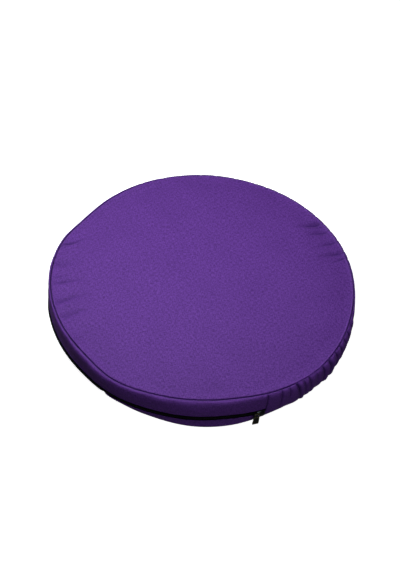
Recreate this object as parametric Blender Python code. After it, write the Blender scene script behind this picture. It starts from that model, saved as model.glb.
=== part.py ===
"""A round boxed floor cushion, 400 mm across and 50 mm thick at its seam, lying on its back.

The filled pad carries both round panels. Round its side run the band's pieces: two strips with a zip
between them on one half, and a plain band gathered into short pleats on the other half.
Sizes are in millimetres, and angles in degrees are counted about +Z from +X. The front is -Y.
"""

import math
import random
from collections import namedtuple

import bmesh
import bpy
from mathutils import Matrix

MM = 0.001

# The cushion
SEAM_HEIGHT = 50.0
CROWN = 3.2
CLOTH = 1.5
GAP = 0.4
SEAM_GAP = 0.35

# Where the band changes, round the side
ZIP_START = -180.0 - 61.0
ZIP_END = -64.2
HALF_SEAM_ANGLE = 0.06

# The zip, between the two strips
ZIP_TOP = 21.8
ZIP_FOOT = 13.6
ZIP_GROOVE = 1.1
GROOVE_END = 0.2
GROOVE_FADE = 1.6
TAPE_THICK = 1.0
TAPE_SINK = 1.35
TAPE_MARGIN = 0.7
COIL_WIDTH = 5.2
COIL_RISE = 1.2

# The slider and its pull tab
SLIDER_ANGLE = -66.3
SLIDER_LENGTH = 11.5
SLIDER_WIDTH = 8.6
SLIDER_THICK = 2.3
SLIDER_SEAT = 0.4
SLIDER_TAIL = 0.74
SLIDER_SHOULDER = 0.2
SLIDER_CORNER = 1.6
SLIDER_BEVEL = 0.5
BRIDGE_ROOT = 0.8
BRIDGE_CORNER = 0.7
BRIDGE_LEFT = -5.3
BRIDGE_RIGHT = 4.3
BRIDGE_FOOT = 1.4
BRIDGE_WIDE = 1.8
BRIDGE_UNDER = 5.0
BRIDGE_TOP = 6.2
PULL_THICK = 1.2
PULL_LIFT = 3.2
PULL_LEAN = 9.0
PULL_TILT = 11.0
PULL_SHIFT = -0.75

PULL_BEVEL = 0.3
PULL_CORNER = 1.3
PULL_EYE_CORNER = 0.5
CORNER_STEPS = 2

# The spacing of the points round the cushion
PAD_STEP = 5.0
PAD_STEP_AT_FOLDS = 2.5
STRIP_STEP = 3.0
PLEAT_STEPS = (0.0, 0.3, 0.7)

# The pull tab's outline and its eye, in its own frame, with the bridge's foot at the origin
PULL_OUTLINE = ((-3.1, 2.7), (-3.5, -8.0), (-3.8, -13.8), (3.4, -14.6), (3.3, -8.0), (3.1, 2.7))
PULL_EYE = ((-1.8, 1.25), (-1.8, -0.4), (-1.8, -2.5), (1.8, -2.5), (1.8, -0.4), (1.8, 1.25))

Station = namedtuple("Station", "angle seam rim waist foot")
Level = namedtuple("Level", "height seam rim waist foot inset")
Ring = namedtuple("Ring", "share height")
Fold = namedtuple("Fold", "angle_out radius_out angle_in radius_in depth width")
Pleat = namedtuple("Pleat", "top foot depth reach")

# The uneven outline: the radius at the seam, at the rolled rim, at the zip and at the foot
OUTLINE = (
    Station(-180.0, 200.8, 204.4, 204.6, 198.0),
    Station(-165.0, 200.6, 203.0, 203.2, 196.5),
    Station(-150.0, 199.2, 202.0, 202.6, 193.6),
    Station(-135.0, 198.6, 202.0, 202.8, 193.6),
    Station(-120.0, 203.0, 206.0, 204.2, 198.2),
    Station(-105.0, 199.4, 203.0, 202.3, 199.4),
    Station(-90.0, 196.8, 200.3, 201.3, 201.4),
    Station(-75.0, 195.8, 199.4, 200.6, 200.3),
    Station(-60.0, 199.3, 201.5, 200.2, 195.4),
    Station(-45.0, 202.0, 203.0, 200.3, 194.4),
    Station(-30.0, 200.5, 201.5, 199.8, 195.2),
    Station(-15.0, 198.2, 199.5, 198.5, 195.5),
    Station(0.0, 196.3, 198.0, 198.0, 195.0),
    Station(15.0, 197.0, 199.0, 199.0, 196.0),
    Station(30.0, 198.2, 199.8, 199.8, 196.8),
    Station(45.0, 199.2, 200.5, 200.5, 197.0),
    Station(60.0, 200.3, 201.5, 201.0, 198.0),
    Station(75.0, 200.5, 201.5, 201.0, 198.0),
    Station(90.0, 201.3, 202.4, 202.0, 199.0),
    Station(105.0, 200.5, 201.5, 201.0, 198.0),
    Station(120.0, 199.3, 201.5, 201.5, 198.0),
    Station(135.0, 196.2, 199.3, 200.0, 196.0),
    Station(150.0, 193.8, 197.3, 198.3, 195.0),
    Station(165.0, 199.4, 203.0, 203.4, 197.0),
)

# The band's section from the top seam to the foot: how far each radius counts at that height
SECTION = (
    Level(49.7, 0.90, 0.10, 0.00, 0.00, 0.0),
    Level(49.2, 0.50, 0.50, 0.00, 0.00, 0.0),
    Level(47.4, 0.16, 0.84, 0.00, 0.00, 0.0),
    Level(43.5, 0.00, 1.00, 0.00, 0.00, 0.0),
    Level(34.0, 0.00, 0.75, 0.25, 0.00, 0.0),
    Level(27.0, 0.00, 0.30, 0.70, 0.00, 0.0),
    Level(ZIP_TOP, 0.00, 0.08, 0.92, 0.00, 0.0),
    Level(ZIP_FOOT, 0.00, 0.00, 0.96, 0.04, 0.0),
    Level(11.6, 0.00, 0.00, 0.92, 0.08, 0.0),
    Level(7.0, 0.00, 0.00, 0.45, 0.55, 0.0),
    Level(3.6, 0.00, 0.00, 0.10, 0.90, 0.0),
    Level(1.3, 0.00, 0.00, 0.00, 1.00, 1.0),
    Level(0.5, 0.00, 0.00, 0.00, 1.00, 3.0),
)
UPPER_STRIP = (0, 1, 2, 3, 4, 5, 6)
LOWER_STRIP = (7, 8, 9, 10, 11, 12)
BAND_LEVELS = (0, 2, 3, 4, 7, 9, 10, 12)
PAD_LEVELS = (0, 2, 3, 4, 6, 7, 9, 10, 12)

# The top panel, from beside its seam inwards: share of the seam's radius, and share of the crown
TOP_PANEL = (
    Ring(0.994, 0.02),
    Ring(0.984, 0.07),
    Ring(0.970, 0.12),
    Ring(0.930, 0.25),
    Ring(0.870, 0.40),
    Ring(0.780, 0.60),
    Ring(0.600, 0.85),
    Ring(0.330, 1.00),
)

# The soft creases in the top panel, which run inwards from the seam
CREASES = (
    Fold(166.2, 198.0, 156.6, 165.0, 1.5, 4.0),
    Fold(-174.3, 197.0, -176.7, 173.0, 1.0, 4.5),
    Fold(-163.6, 198.0, -166.2, 148.0, 1.1, 7.0),
    Fold(-155.6, 197.0, -155.1, 147.0, 0.9, 7.5),
    Fold(42.1, 199.0, 44.4, 170.0, 1.5, 4.5),
    Fold(36.0, 197.5, 36.4, 171.0, 1.1, 4.5),
    Fold(23.1, 196.0, 21.3, 166.0, 1.0, 5.0),
    Fold(18.7, 196.0, 16.8, 175.0, 1.0, 4.5),
)

# The tucks of the gathered band that show, from the zip's end to the right: where each one starts at
# the top seam and ends at the foot, its depth, and how far down the side it reaches
PLEATS = (
    Pleat(-58.8, -58.8, 0.9, 0.5),
    Pleat(-55.4, -54.9, 1.2, 0.4),
    Pleat(-52.7, -48.4, 2.0, 1.0),
    Pleat(-49.4, -46.4, 1.6, 0.6),
    Pleat(-47.2, -44.2, 1.0, 1.0),
    Pleat(-43.6, -41.4, 0.6, 0.6),
    Pleat(-39.9, -37.0, 1.8, 1.0),
    Pleat(-36.4, -33.6, 3.2, 1.0),
    Pleat(-31.8, -28.5, 2.4, 1.0),
    Pleat(-28.6, -25.2, 1.5, 0.6),
    Pleat(-24.8, -22.2, 2.2, 1.0),
    Pleat(-20.9, -18.6, 1.5, 0.6),
    Pleat(-16.6, -14.7, 2.4, 1.0),
)
PLEAT_SEED = 7
PLEAT_SPACING = (3.6, 6.2)
PLEAT_DEPTH = (1.4, 2.6)
PLEAT_SLANT = 1.6


def clear_scene():
    for item in list(bpy.data.objects):
        bpy.data.objects.remove(item, do_unlink=True)


def material(name, colour, roughness, metallic=0.0, sheen=0.0):
    made = bpy.data.materials.new(name)
    made.use_nodes = True
    shader = made.node_tree.nodes["Principled BSDF"]
    shader.inputs["Base Color"].default_value = (*colour, 1.0)
    shader.inputs["Roughness"].default_value = roughness
    shader.inputs["Metallic"].default_value = metallic
    shader.inputs["Sheen Weight"].default_value = sheen
    made.diffuse_color = (*colour, 1.0)
    return made


def place(name, mesh, finish, parent=None, matrix=None):
    item = bpy.data.objects.new(name, mesh)
    bpy.context.scene.collection.objects.link(item)
    mesh.materials.append(finish)
    if parent:
        item.parent = parent
    if matrix:
        item.matrix_basis = matrix
    mesh.shade_smooth()
    mesh.set_sharp_from_angle(angle=math.radians(40.0))
    return item


def mesh_of(name, bm):
    bmesh.ops.recalc_face_normals(bm, faces=bm.faces)
    mesh = bpy.data.meshes.new(name)
    bm.to_mesh(mesh)
    bm.free()
    return mesh


def loft(name, rings):
    """A closed body through closed rings of points, with a flat cap at each end."""
    bm = bmesh.new()
    loops = [[bm.verts.new([value * MM for value in point]) for point in ring] for ring in rings]
    for low, high in zip(loops, loops[1:]):
        for i, corner in enumerate(low):
            j = (i + 1) % len(low)
            bm.faces.new((corner, low[j], high[j], high[i]))
    bm.faces.new(loops[0])
    bm.faces.new(loops[-1])
    return mesh_of(name, bm)


def cloth(name, columns):
    """An open surface through columns of points. Solidify gives it its thickness."""
    bm = bmesh.new()
    lines = [[bm.verts.new([value * MM for value in point]) for point in column] for column in columns]
    for left, right in zip(lines, lines[1:]):
        for i in range(len(left) - 1):
            bm.faces.new((left[i], left[i + 1], right[i + 1], right[i]))
    mesh = bpy.data.meshes.new(name)
    bm.to_mesh(mesh)
    bm.free()
    return mesh


def thicken(item, thickness):
    made = item.modifiers.new("cloth thickness", "SOLIDIFY")
    made.thickness = thickness * MM
    made.offset = -1.0


def outline(angle):
    """The four radii at an angle, on a smooth closed curve through the stations."""
    count = len(OUTLINE)
    step = 360.0 / count
    place_on = (angle - OUTLINE[0].angle) / step
    first = math.floor(place_on)
    t = place_on - first
    rows = [OUTLINE[(first + k) % count] for k in (-1, 0, 1, 2)]
    radii = []
    for before, start, end, after in list(zip(*rows))[1:]:
        out = (end - before) / 2
        back = (after - start) / 2
        radii.append(
            start * (2 * t**3 - 3 * t**2 + 1)
            + out * (t**3 - 2 * t**2 + t)
            + end * (3 * t**2 - 2 * t**3)
            + back * (t**3 - t**2)
        )
    return radii


def section(angle):
    """The band's outer face at an angle, as radius and height from the top seam to the foot."""
    radii = outline(angle)
    return [
        (sum(share * radius for share, radius in zip(row[1:5], radii)) - row.inset, row.height)
        for row in SECTION
    ]


def sunk(line, depth):
    """A section's points moved inwards, square to the section."""
    made = []
    for i, (radius, height) in enumerate(line):
        before = line[max(i - 1, 0)]
        after = line[min(i + 1, len(line) - 1)]
        along = (after[0] - before[0], after[1] - before[1])
        length = math.hypot(*along)
        made.append((radius + along[1] / length * depth, height - along[0] / length * depth))
    return made


def beside(inner, edge, within):
    """Two points of the pad along the edge of the band's cloth, a seam's gap away from it."""
    length = math.dist(edge, within)
    step = [(edge[n] - within[n]) / length * SEAM_GAP for n in (0, 1)]
    return (inner[0] + step[0], inner[1] + step[1]), (edge[0] + step[0], edge[1] + step[1])


def at(angle, radius, height):
    turn = math.radians(angle)
    return (radius * math.cos(turn), radius * math.sin(turn), height)


def smooth_step(value):
    t = min(max(value, 0.0), 1.0)
    return t * t * (3 - 2 * t)


def in_zip_range(angle):
    """1 along the zip and 0 away from it, with a short change past each end."""
    turned = (angle - ZIP_START + 180.0) % 360.0 - 180.0
    left = (ZIP_END - angle + 180.0) % 360.0 - 180.0
    if (angle - ZIP_START) % 360.0 < ZIP_END - ZIP_START:
        return 1.0
    nearest = min(abs(turned), abs(left))
    return 1 - smooth_step((nearest - GROOVE_END) / GROOVE_FADE)


def crease_depth(x, y):
    """How far the creases sink the top panel at a point."""
    total = 0.0
    for fold in CREASES:
        outer = at(fold.angle_out, fold.radius_out, 0)
        inner = at(fold.angle_in, fold.radius_in, 0)
        run = (inner[0] - outer[0], inner[1] - outer[1])
        length = math.hypot(*run)
        along = ((x - outer[0]) * run[0] + (y - outer[1]) * run[1]) / length**2
        off = abs((x - outer[0]) * run[1] - (y - outer[1]) * run[0]) / length
        fade = 1 - smooth_step(along) if along > 0 else 1 - smooth_step(-along * 2)
        total += fold.depth * fade * math.exp(-((off / fold.width) ** 2))
    return total


def near_fold(angle):
    return any(abs((angle - fold.angle_out + 180.0) % 360.0 - 180.0) < 11.0 for fold in CREASES)


def pad_angles():
    angles = []
    angle = -180.0
    while angle < 180.0 - 0.6 * PAD_STEP:
        angles.append(angle)
        angle += PAD_STEP_AT_FOLDS if near_fold(angle) else PAD_STEP
    ends = [
        edge + side * reach
        for edge, side in ((ZIP_START + 360.0, -1), (ZIP_END, 1))
        for reach in (GROOVE_END, GROOVE_END + GROOVE_FADE)
    ]
    kept = [angle for angle in angles if all(abs(angle - end) > 1.0 for end in ends)]
    return sorted(kept + ends)


def pad_column(angle):
    """The pad's half section at an angle, from the middle of its foot to the middle of its top."""
    whole = section(angle)
    line = [whole[i] for i in PAD_LEVELS]
    side = sunk(line, CLOTH + GAP)
    groove = ZIP_GROOVE * in_zip_range(angle)
    seam_in, seam_out = beside(side[0], line[0], line[1])
    foot_in, foot_out = beside(side[-1], line[-1], line[-2])
    seam_radius = seam_out[0]
    foot_radius = foot_out[0]
    column = [
        (foot_radius * 0.5, 0.0),
        (foot_radius - 1.4, 0.0),
        foot_out,
        foot_in,
    ]
    for level, (radius, height) in reversed(list(zip(PAD_LEVELS, side))):
        if SECTION[level].height in (ZIP_TOP, ZIP_FOOT):
            radius -= groove
        column.append((radius, height))
    column += [
        seam_in,
        seam_out,
    ]
    for ring in TOP_PANEL:
        column.append((seam_radius * ring.share, SEAM_HEIGHT + 0.2 + CROWN * ring.height))
    points = [at(angle, radius, height) for radius, height in column]
    first = len(points) - len(TOP_PANEL)
    return points[:first] + [(x, y, z - crease_depth(x, y)) for x, y, z in points[first:]]


def pad():
    columns = [pad_column(angle) for angle in pad_angles()]
    return loft("cushion_pad", list(zip(*columns)))


def angles_between(start, end, step):
    count = max(2, round((end - start) / step))
    return [start + (end - start) * i / count for i in range(count + 1)]


def strip(name, rows):
    """One of the two strips beside the zip."""
    columns = []
    for angle in angles_between(ZIP_START + HALF_SEAM_ANGLE, ZIP_END - HALF_SEAM_ANGLE, STRIP_STEP):
        line = section(angle)
        columns.append([at(angle, *line[row]) for row in rows])
    return cloth(name, columns)


def zip_chain():
    """The zip's tape with its closed coil as a rounded ridge along the middle."""
    rings = []
    middle = (ZIP_TOP + ZIP_FOOT) / 2
    half = (ZIP_TOP - ZIP_FOOT) / 2 - TAPE_MARGIN
    profile = (
        (-TAPE_THICK, half),
        (0.0, half),
        (0.0, COIL_WIDTH / 2),
        (COIL_RISE, COIL_WIDTH / 4),
        (COIL_RISE, -COIL_WIDTH / 4),
        (0.0, -COIL_WIDTH / 2),
        (0.0, -half),
        (-TAPE_THICK, -half),
    )
    for angle in angles_between(ZIP_START + HALF_SEAM_ANGLE, ZIP_END - HALF_SEAM_ANGLE, STRIP_STEP):
        line = section(angle)
        upper = line[UPPER_STRIP[-1]][0] - TAPE_SINK
        lower = line[LOWER_STRIP[0]][0] - TAPE_SINK
        centre = (upper + lower) / 2
        lean = (upper - lower) / 2 / half
        rings.append([at(angle, centre + lean * up + out, middle + up) for out, up in profile])
    return loft("zip_chain", rings)


def pleats():
    """The tucks that show, and then like ones round to the zip's far end."""
    tucks = [Pleat(ZIP_END + HALF_SEAM_ANGLE, ZIP_END + HALF_SEAM_ANGLE, 0.0, 1.0), *PLEATS]
    chance = random.Random(PLEAT_SEED)
    end = ZIP_START + 360.0 - HALF_SEAM_ANGLE
    angle = PLEATS[-1].top
    while True:
        angle += chance.uniform(*PLEAT_SPACING)
        if angle > end - PLEAT_SPACING[0]:
            break
        slant = chance.uniform(-PLEAT_SLANT, PLEAT_SLANT)
        reach = chance.choice((0.6, 1.0, 1.0))
        tucks.append(Pleat(angle, angle + slant, chance.uniform(*PLEAT_DEPTH), reach))
    tucks.append(Pleat(end, end, 0.0, 1.0))
    return tucks


def gathered_band():
    """The plain band, puffed out between one tuck and the next."""
    columns = []
    tucks = pleats()
    for left, right in zip(tucks, tucks[1:]):
        for share in PLEAT_STEPS:
            column = []
            for i in BAND_LEVELS:
                down = 1 - SECTION[i].height / SEAM_HEIGHT
                start = left.top + (left.foot - left.top) * down
                end = right.top + (right.foot - right.top) * down
                angle = start + (end - start) * share
                radius, height = section(angle)[i]
                near = left if share < 0.5 else right
                fade = 1 - smooth_step((down - near.reach) / 0.35) * 0.7 if near.reach < 1 else 1.0
                edge = min(1.0, 0.25 + 4 * down, 0.35 + 4 * (1 - down))
                puff = (4 * share * (1 - share)) ** 0.7
                depth = (left.depth * (1 - share) + right.depth * share) * fade * edge
                column.append(at(angle, radius + depth * puff, height))
            columns.append(column)
    last = tucks[-1].top
    line = section(last)
    columns.append([at(last, *line[i]) for i in BAND_LEVELS])
    return cloth("gathered_band", columns)


def plate(name, outer, inner, thickness, bevel):
    """A flat plate with softened outer edges, and a hole where an inner outline is given."""
    bm = bmesh.new()
    middle = (sum(p[0] for p in outer) / len(outer), sum(p[1] for p in outer) / len(outer))
    reach = max(math.dist(point, middle) for point in outer)
    small = 1 - bevel / reach
    inset = [(middle[0] + (x - middle[0]) * small, middle[1] + (y - middle[1]) * small) for x, y in outer]
    levels = ((inset, 0.0), (outer, bevel), (outer, thickness - bevel), (inset, thickness))
    loops = [[bm.verts.new((x * MM, y * MM, z * MM)) for x, y in line] for line, z in levels]
    if inner:
        for z in (thickness, 0.0):
            loops.append([bm.verts.new((x * MM, y * MM, z * MM)) for x, y in inner])
        loops.append(loops[0])
    for low, high in zip(loops, loops[1:]):
        for i, corner in enumerate(low):
            j = (i + 1) % len(low)
            bm.faces.new((corner, low[j], high[j], high[i]))
    if not inner:
        bm.faces.new(loops[0])
        bm.faces.new(loops[-1])
    return mesh_of(name, bm)


def rounded_outline(corners, radius):
    """The outline through corners, given anticlockwise, with each corner rounded."""
    points = []
    steps = CORNER_STEPS
    for i, corner in enumerate(corners):
        before = corners[i - 1]
        after = corners[(i + 1) % len(corners)]
        start = toward(corner, before, radius)
        end = toward(corner, after, radius)
        for k in range(steps + 1):
            t = k / steps
            points.append(
                tuple(
                    start[n] * (1 - t) ** 2 + 2 * corner[n] * t * (1 - t) + end[n] * t**2
                    for n in (0, 1)
                )
            )
    return points


def toward(start, end, distance):
    share = distance / math.dist(start, end)
    return (start[0] + (end[0] - start[0]) * share, start[1] + (end[1] - start[1]) * share)


def side_frame(angle, out, height):
    """The frame on the band at an angle: X runs along the zip, Y up and Z outwards."""
    turn = math.radians(angle)
    radius = outline(angle)[2] + out
    along = (-math.sin(turn), math.cos(turn), 0.0)
    outward = (math.cos(turn), math.sin(turn), 0.0)
    up = (0.0, 0.0, 1.0)
    place_at = [value * MM for value in at(angle, radius, height)]
    return Matrix([*zip(along, up, outward, place_at), (0.0, 0.0, 0.0, 1.0)])


def slider_body():
    """The slider's outer plate, narrower at its tail."""
    half = SLIDER_LENGTH / 2
    wide = SLIDER_WIDTH / 2
    tail = wide * SLIDER_TAIL
    shoulder = half * SLIDER_SHOULDER
    corners = (
        (-half, -tail),
        (shoulder, -wide),
        (half, -wide),
        (half, wide),
        (shoulder, wide),
        (-half, tail),
    )
    outer = rounded_outline(corners, SLIDER_CORNER)
    return plate("zip_slider", outer, None, SLIDER_THICK, SLIDER_BEVEL)


def bridge():
    """The slider's arch, from one foot over the pull's eye to the other foot."""
    left_in = BRIDGE_LEFT + BRIDGE_FOOT
    right_in = BRIDGE_RIGHT - BRIDGE_FOOT
    low = SLIDER_THICK - BRIDGE_ROOT
    side = (
        (BRIDGE_LEFT, low),
        (left_in, low),
        (left_in, BRIDGE_UNDER),
        (right_in, BRIDGE_UNDER),
        (right_in, low),
        (BRIDGE_RIGHT, low),
        (BRIDGE_RIGHT, BRIDGE_TOP - BRIDGE_CORNER),
        (BRIDGE_RIGHT - BRIDGE_CORNER, BRIDGE_TOP),
        (BRIDGE_LEFT + BRIDGE_CORNER, BRIDGE_TOP),
        (BRIDGE_LEFT, BRIDGE_TOP - BRIDGE_CORNER),
    )
    half = BRIDGE_WIDE / 2
    return loft("slider_bridge", [[(x, y, z) for x, z in side] for y in (-half, half)])


def pull_tab():
    """The pull tab. Its eye goes round the bridge's left foot, at the origin of its own frame."""
    outer = rounded_outline(PULL_OUTLINE, PULL_CORNER)
    inner = rounded_outline(PULL_EYE, PULL_EYE_CORNER)
    return plate("zip_pull", outer, inner, PULL_THICK, PULL_BEVEL)


def build():
    clear_scene()
    cushion_cloth = material("cushion_cloth", (0.119, 0.048, 0.275), 0.75, sheen=0.3)
    upper_cloth = material("upper_strip_cloth", (0.110, 0.044, 0.255), 0.75, sheen=0.3)
    lower_cloth = material("lower_strip_cloth", (0.110, 0.044, 0.255), 0.75, sheen=0.3)
    band_cloth = material("band_cloth", (0.112, 0.045, 0.260), 0.75, sheen=0.3)
    zip_black = material("zip_black", (0.008, 0.008, 0.010), 0.45)
    slider_black = material("slider_black", (0.012, 0.012, 0.013), 0.22, metallic=0.6)
    pull_black = material("pull_black", (0.014, 0.014, 0.013), 0.25, metallic=0.6)

    cushion = place("cushion_pad", pad(), cushion_cloth)
    upper = place("zip_strip_upper", strip("zip_strip_upper", UPPER_STRIP), upper_cloth, cushion)
    lower = place("zip_strip_lower", strip("zip_strip_lower", LOWER_STRIP), lower_cloth, cushion)
    band = place("gathered_band", gathered_band(), band_cloth, cushion)
    for item in (upper, lower, band):
        thicken(item, CLOTH)
    place("zip_chain", zip_chain(), zip_black, cushion)

    middle = (ZIP_TOP + ZIP_FOOT) / 2
    slider_frame = side_frame(SLIDER_ANGLE, SLIDER_SEAT, middle)
    slider = place("zip_slider", slider_body(), slider_black, cushion, slider_frame)
    arch = place("slider_bridge", bridge(), slider_black, cushion, slider_frame)
    arch.hide_render = True
    arch.display_type = "WIRE"
    joined = slider.modifiers.new("bridge", "BOOLEAN")
    joined.operation = "UNION"
    joined.solver = "EXACT"
    joined.object = arch

    eye = ((BRIDGE_LEFT + BRIDGE_FOOT / 2 + PULL_SHIFT) * MM, 0.0, PULL_LIFT * MM)
    hang = (
        Matrix.Translation(eye)
        @ Matrix.Rotation(math.radians(-PULL_LEAN), 4, "Z")
        @ Matrix.Rotation(math.radians(-PULL_TILT), 4, "X")
    )
    place("zip_pull", pull_tab(), pull_black, slider, hang)


build()
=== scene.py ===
"""Looks for the round floor cushion: a filled cover of woven cloth with a zip round half of its side.

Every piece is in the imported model's frame, in metres. Tables and helpers work in millimetres, and angles
in degrees are counted about +Z from +X. The front is -Y.
"""

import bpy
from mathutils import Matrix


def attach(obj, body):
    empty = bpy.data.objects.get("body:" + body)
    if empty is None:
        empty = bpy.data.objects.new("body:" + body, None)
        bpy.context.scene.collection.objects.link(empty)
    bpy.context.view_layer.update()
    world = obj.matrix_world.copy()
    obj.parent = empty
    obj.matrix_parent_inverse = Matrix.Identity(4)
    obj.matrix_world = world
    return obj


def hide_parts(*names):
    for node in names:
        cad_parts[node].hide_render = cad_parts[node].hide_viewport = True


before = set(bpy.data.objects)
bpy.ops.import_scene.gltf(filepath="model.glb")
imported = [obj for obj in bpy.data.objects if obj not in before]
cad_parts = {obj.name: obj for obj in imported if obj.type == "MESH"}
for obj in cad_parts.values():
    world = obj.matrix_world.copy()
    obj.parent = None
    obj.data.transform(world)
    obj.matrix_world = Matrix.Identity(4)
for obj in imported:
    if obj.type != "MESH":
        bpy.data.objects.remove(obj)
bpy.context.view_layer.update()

import math
import random
from collections import namedtuple

import bmesh
import bpy
import numpy as np
from mathutils import Matrix, Vector, kdtree, noise

MM = 0.001

# The cushion
SEAM_HEIGHT = 50.0
CROWN = 3.2
TOP_EDGE = 50.2
SIDE_SINK = 2.3
PANEL_RADIUS = 200.0
ARC_RADIUS = 201.0

# Where the zip's panel starts and ends round the side, and the gap to the gathered band
ZIP_START = -241.0
ZIP_END = -64.2
END_GAP = 0.04

# The zip, between the two strips
ZIP_TOP = 21.8
ZIP_FOOT = 13.6
ZIP_MIDDLE = (ZIP_TOP + ZIP_FOOT) / 2
TAPE_SINK = 1.6
LOWER_TUCK = 2.6
TAPE_PROUD = 4.2
TAPE_HALF = 6.6
ZIP_RISE = 1.5
ZIP_RISE_ANGLE = -79.0
ZIP_RISE_REACH = 7.5
COIL_HALF = 2.3
COIL_RISE = 1.05
TOOTH_PITCH = 1.5
TOOTH_RADIUS = 0.40

# The cloths' thicknesses, their hems and end seams, and the stitches
STRIP_THICK = 0.5
BAND_THICK = 0.8
TAPE_THICK = 0.55
HEM_RADIUS = 0.55
HEM_GAP = 0.1
HEM_STEPS = np.array([1.5, 3.0, 5.0])
END_SEAM_DEPTH = 0.8
END_SEAM_REACH = 0.95
STITCH_PITCH = 3.6
STITCH_SEAT = 0.02
SEAM_STITCH_HEIGHT = 48.25
UPPER_STITCH_LEVEL = 5.25
LOWER_STITCH_LEVEL = 8.1

# The slider and its pull tab
SLIDER_ANGLE = -66.3
SLIDER_SEAT = 0.4
BRIDGE_LEFT = -5.3
BRIDGE_RIGHT = 4.3
BRIDGE_FOOT = 1.4
BRIDGE_TOP = 6.2
PULL_LIFT = 3.2
PULL_LEAN = 9.0
PULL_TILT = 11.0
PULL_SHIFT = -0.75
PULL_THICK = 1.2
CORNER_POINTS = 6
MOST_ROUND = 0.48
SLIDER_LENGTH = 11.5
SLIDER_WIDTH = 8.6
SLIDER_TAIL = 0.74

Fold = namedtuple("Fold", "angle_out radius_out angle_in radius_in depth width crisp ridge")
Pleat = namedtuple("Pleat", "top foot depth reach")

# The uneven outline, every 15 degrees: the angle, and the radius at the seam, at the rolled rim, at the zip
# and at the foot
OUTLINE = (
    (-180, 200.8, 204.4, 204.6, 198.0),
    (-165, 200.6, 203.0, 203.2, 196.5),
    (-150, 199.2, 202.0, 202.6, 191.8),
    (-135, 198.6, 202.0, 202.4, 191.2),
    (-120, 203.0, 206.0, 204.2, 197.6),
    (-105, 199.4, 203.0, 202.3, 199.4),
    (-90, 196.8, 200.3, 201.3, 202.4),
    (-75, 195.8, 199.4, 200.6, 200.8),
    (-60, 199.3, 201.5, 200.2, 195.6),
    (-45, 201.2, 203.2, 201.1, 195.2),
    (-30, 199.2, 201.6, 199.8, 195.2),
    (-15, 196.8, 199.5, 198.5, 195.5),
    (0, 196.3, 198.0, 198.0, 195.0),
    (15, 197.0, 199.0, 199.0, 196.0),
    (30, 198.2, 199.8, 199.8, 196.8),
    (45, 199.2, 200.5, 200.5, 197.0),
    (60, 200.3, 201.5, 201.0, 198.0),
    (75, 200.5, 201.5, 201.0, 198.0),
    (90, 201.3, 202.4, 202.0, 199.0),
    (105, 200.5, 201.5, 201.0, 198.0),
    (120, 199.3, 201.5, 201.5, 198.0),
    (135, 196.2, 199.3, 200.0, 196.0),
    (150, 193.8, 197.3, 198.3, 195.0),
    (165, 199.4, 203.0, 203.4, 197.0),
)

# The band's section from the top seam to the foot: the height, how far the radius at the seam, rim, zip and
# foot counts there, how far the face is drawn in, and its share of the roll
SECTION = (
    (49.60, 1, 0, 0, 0, -1, 0),
    (48.75, 0.50, 0.50, 0, 0, -0.75, 0.30),
    (46.7, 0.18, 0.82, 0, 0, -0.50, 0.75),
    (42.4, 0, 1, 0, 0, -0.30, 1),
    (35.0, 0, 0.85, 0.15, 0, -0.25, 0.95),
    (27.5, 0, 0.40, 0.60, 0, -0.10, 0.50),
    (ZIP_TOP, 0, 0.10, 0.90, 0, -1.10, 0.10),
    (ZIP_FOOT, 0, 0, 0.96, 0.04, 0, 0),
    (11.6, 0, 0, 0.92, 0.08, 0, 0),
    (7.0, 0, 0, 0.45, 0.55, 0, 0),
    (3.6, 0, 0, 0.10, 0.90, 0, 0),
    (1.3, 0, 0, 0, 1, 1, 0),
    (0.5, 0, 0, 0, 1, 3.0, 0),
)

# The same levels on the gathered side, where no zip draws the cloth in
GATHERED_SECTION = (
    *SECTION[:5],
    (27.5, 0, 0.55, 0.45, 0, -0.15, 0.80),
    (ZIP_TOP, 0, 0.30, 0.66, 0.04, 0, 0.62),
    (ZIP_FOOT, 0, 0.05, 0.75, 0.20, 0, 0.36),
    (11.6, 0, 0, 0.70, 0.30, 0, 0.28),
    (7.0, 0, 0, 0.42, 0.58, 0, 0.12),
    (3.6, 0, 0, 0.15, 0.85, 0.10, 0),
    *SECTION[11:],
)
ROLL = 1.8
LEVEL_ZIP_TOP = 6.0
LEVEL_ZIP_FOOT = 7.0
LEVEL_FOOT = 12.0

UPPER_HEM_LEVEL = LEVEL_ZIP_TOP - 0.27

# Low swells of the upper strip: the angle, the level, the height, and the reach along and down the side
SWELLS = (
    (-89.5, 3.9, 1.45, 7.0, 1.2),
    (-117.0, 2.6, -0.50, 8.0, 1.1),
)

# The cloth's lips. The one in the top seam starts at its bottom: the radius from the seam's, and the height.
# The one in the bottom seam goes on from the band's last point, by these steps out and up.
BAND_LIP = ((0.27, 46.6), (0.27, 47.4), (0.33, 48.3), (0.48, 48.95), (0.70, 49.40))
FOOT_LIP = ((-0.45, 0.12), (-0.70, 0.55), (-0.75, 1.3))

# The pad's own lips: the radius from the seam's or the foot's, the height and, at the top, the painted shade
PAD_TOP_LIP = (
    (-1.30, 44.5, 1.0),
    (-0.60, 46.0, 1.0),
    (-0.40, 47.0, 1.0),
    (-0.42, 48.1, 1.0),
    (-0.52, 48.9, 0.95),
    (-0.78, 49.55, 0.45),
    (-1.20, 49.92, 0.12),
    (-1.95, 50.12, 0.0),
    (-3.00, 50.20, 0.0),
)
PAD_FOOT_LIP = ((-7.0, 0.0), (-5.4, 0.05), (-4.5, 0.45), (-4.2, 1.2), (-4.6, 2.2))

# The top panel, from beside its seam inwards: share of the seam's radius, and share of the crown
TOP_PANEL = (
    (0.000, 1.04),
    (0.330, 1.00),
    (0.600, 0.85),
    (0.780, 0.60),
    (0.870, 0.40),
    (0.930, 0.25),
    (0.970, 0.12),
    (0.984, 0.07),
    (0.994, 0.02),
    (1.000, 0.00),
)

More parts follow.
